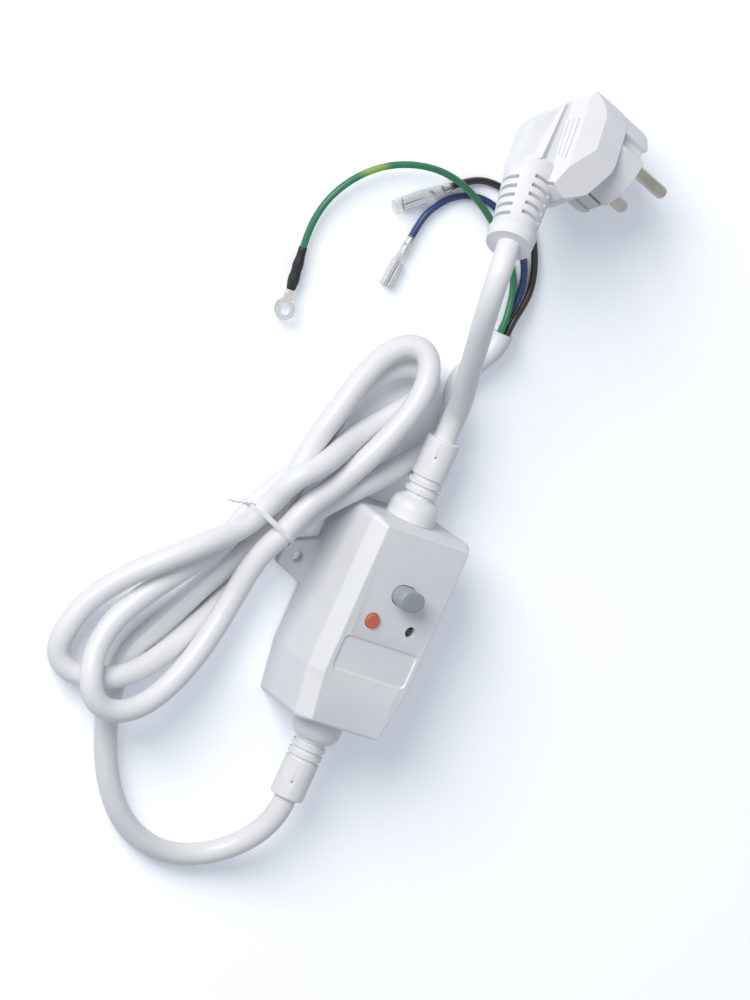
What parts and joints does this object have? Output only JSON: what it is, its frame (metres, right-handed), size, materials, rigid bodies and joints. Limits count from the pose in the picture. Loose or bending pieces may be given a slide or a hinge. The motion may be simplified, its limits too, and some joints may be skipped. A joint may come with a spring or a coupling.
{
  "type": "residual current device extension lead",
  "caption": "In-line residual current protection box with reset and test buttons, moulded angled mains plug on a short lead, and a tied hank of lead ending in three bare wires with terminals.",
  "frame": {"origin": "centre of the protection box's back, on the surface it lies on, without its leads", "axes": "+X across the box, +Y along it towards the plug's lead, +Z out of its face with the buttons"},
  "size_m": [0.1483, 0.3139, 0.0602],
  "materials": {
    "housing": "satin moulded ABS",
    "plug_white": "satin moulded PVC",
    "lead_sheath": "smooth flexible PVC",
    "tie_white": "smooth plastic strip",
    "reset_grey": "slightly translucent",
    "test_red": "smooth",
    "lamp_lens": "smooth lens, unlit",
    "screw_steel": "zinc plated",
    "pin_nickel": "nickel plated",
    "terminal_tin": "tin plated",
    "brass_parts": "stamped",
    "circuit_board": "solder mask",
    "component_black": "moulded",
    "coil_core": "lacquered",
    "wire_brown": "flexible PVC",
    "wire_blue": "flexible PVC",
    "wire_green": "flexible PVC with a yellow stripe",
    "shrink_black": "shrunk sleeve",
    "sleeve_clear": "clear soft plastic"
  },
  "bodies": {
    "housing": {"base_shell": "housing", "board_components": "component_black", "cable_tie": "tie_white", "circuit_board": "circuit_board", "contact_frame": "component_black", "earth_clips": "pin_nickel", "earth_socket": "pin_nickel", "earth_wire": "wire_green", "fixed_contacts": "brass_parts", "heat_shrink": "shrink_black", "housing_screws": "screw_steel", "indicator_led": "lamp_lens", "inlet_strain_relief": "lead_sheath", "inner_earth_wire": "wire_green", "inner_line_wires": "wire_brown", "inner_neutral_wires": "wire_blue", "lead_hank": "lead_sheath", "lead_tail": "lead_sheath", "line_pin": "pin_nickel", "line_sleeve": "sleeve_clear", "line_terminal": "terminal_tin", "line_wire": "wire_brown", "neutral_pin": "pin_nickel", "neutral_sleeve": "sleeve_clear", "neutral_terminal": "terminal_tin", "neutral_wire": "wire_blue", "outlet_lead": "lead_sheath", "outlet_strain_relief": "lead_sheath", "plug_body": "plug_white", "plug_insert": "plug_white", "plug_lead": "lead_sheath", "reset_spring": "screw_steel", "ring_terminal": "terminal_tin", "sensing_coil": "coil_core", "test_leaf": "brass_parts", "test_post": "brass_parts", "top_cover": "housing", "trip_coil": "brass_parts"},
    "reset_button": {"reset_button": "reset_grey", "contact_carrier": "component_black", "moving_contacts": "brass_parts"},
    "test_button": {"test_button": "test_red"},
    "trip_plunger": {"trip_plunger": "screw_steel"}
  },
  "joints": [
    {"name": "reset_slide", "type": "slide", "parent": "housing", "child": "reset_button", "axis": [0, 0, -1], "range_m": [0, 0.003], "stiffness_N_per_m": 800, "springref_m": -0.002, "deforming": ["reset_spring"]},
    {"name": "test_slide", "type": "slide", "parent": "housing", "child": "test_button", "axis": [0, 0, -1], "range_m": [0, 0.0015], "stiffness_N_per_m": 600, "springref_m": -0.001},
    {"name": "plunger_slide", "type": "slide", "parent": "housing", "child": "trip_plunger", "axis": [0, 1, 0], "range_m": [0, 0.0015], "stiffness_N_per_m": 100, "springref_m": -0.001}
  ]
}
